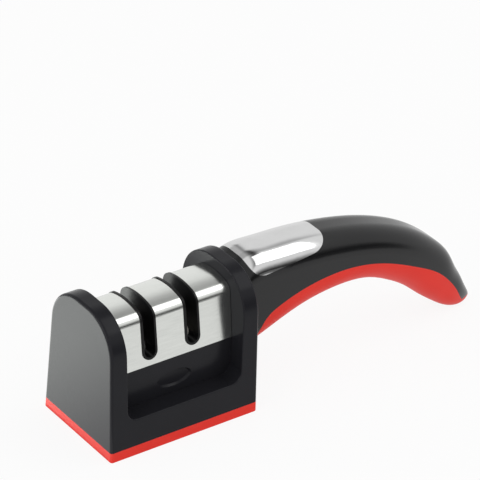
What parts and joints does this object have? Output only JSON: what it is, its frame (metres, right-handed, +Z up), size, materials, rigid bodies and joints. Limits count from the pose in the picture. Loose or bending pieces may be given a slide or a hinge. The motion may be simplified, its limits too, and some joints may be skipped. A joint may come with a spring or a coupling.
{
  "type": "pull through knife sharpener",
  "caption": "Table knife sharpener with an arched head, a steel cover with two blade slots over turning bevelled wheels, and a curved handle with a soft grip",
  "frame": {"origin": "middle of the object's length and width, on the plane that it rests on", "axes": "+X runs from the head towards the handle's tip, +Z is up, and the front is at -Y"},
  "size_m": [0.2062, 0.05, 0.0659],
  "materials": {
    "housing_plastic": "black moulded plastic, satin",
    "cover_steel": "fine brushed stainless sheet",
    "guide_plastic": "black moulded plastic, smooth",
    "inner_plastic": "dark moulded plastic, matt",
    "pin_steel": "ground steel pin",
    "hub_plastic": "natural bearing plastic",
    "coated_steel": "steel wheel with an abrasive coating",
    "fine_ceramic": "fine matt ceramic",
    "screw_steel": "zinc-plated steel",
    "soft_red": "soft red elastomer, satin",
    "handle_plastic": "black moulded plastic, glossy",
    "shield_chrome": "polished bright plating"
  },
  "bodies": {
    "sharpener_body": {"head_housing": "housing_plastic", "centre_block": "housing_plastic", "steel_cover": "cover_steel", "coarse_slot_guide": "guide_plastic", "fine_slot_guide": "guide_plastic", "wheel_cradle": "inner_plastic", "wheel_axle": "pin_steel", "axle_rings": "pin_steel", "bottom_plate": "inner_plastic", "plate_screws": "screw_steel", "cradle_screws": "screw_steel", "sole_pad": "soft_red", "handle_core": "handle_plastic", "handle_grip": "soft_red", "handle_shield": "shield_chrome", "handle_screws": "screw_steel"},
    "coarse_wheels": {"coarse_hub": "hub_plastic", "coarse_wheel_left": "coated_steel", "coarse_wheel_right": "coated_steel"},
    "fine_wheels": {"fine_hub": "hub_plastic", "fine_wheel_left": "fine_ceramic", "fine_wheel_right": "fine_ceramic"}
  },
  "joints": [
    {"name": "coarse_wheel_spin", "type": "hinge", "parent": "sharpener_body", "child": "coarse_wheels", "pos_m": [-0.07845, 0, 0.0303], "axis": [1, 0, 0], "continuous": true},
    {"name": "fine_wheel_spin", "type": "hinge", "parent": "sharpener_body", "child": "fine_wheels", "pos_m": [-0.05705, 0, 0.0303], "axis": [1, 0, 0], "continuous": true}
  ]
}
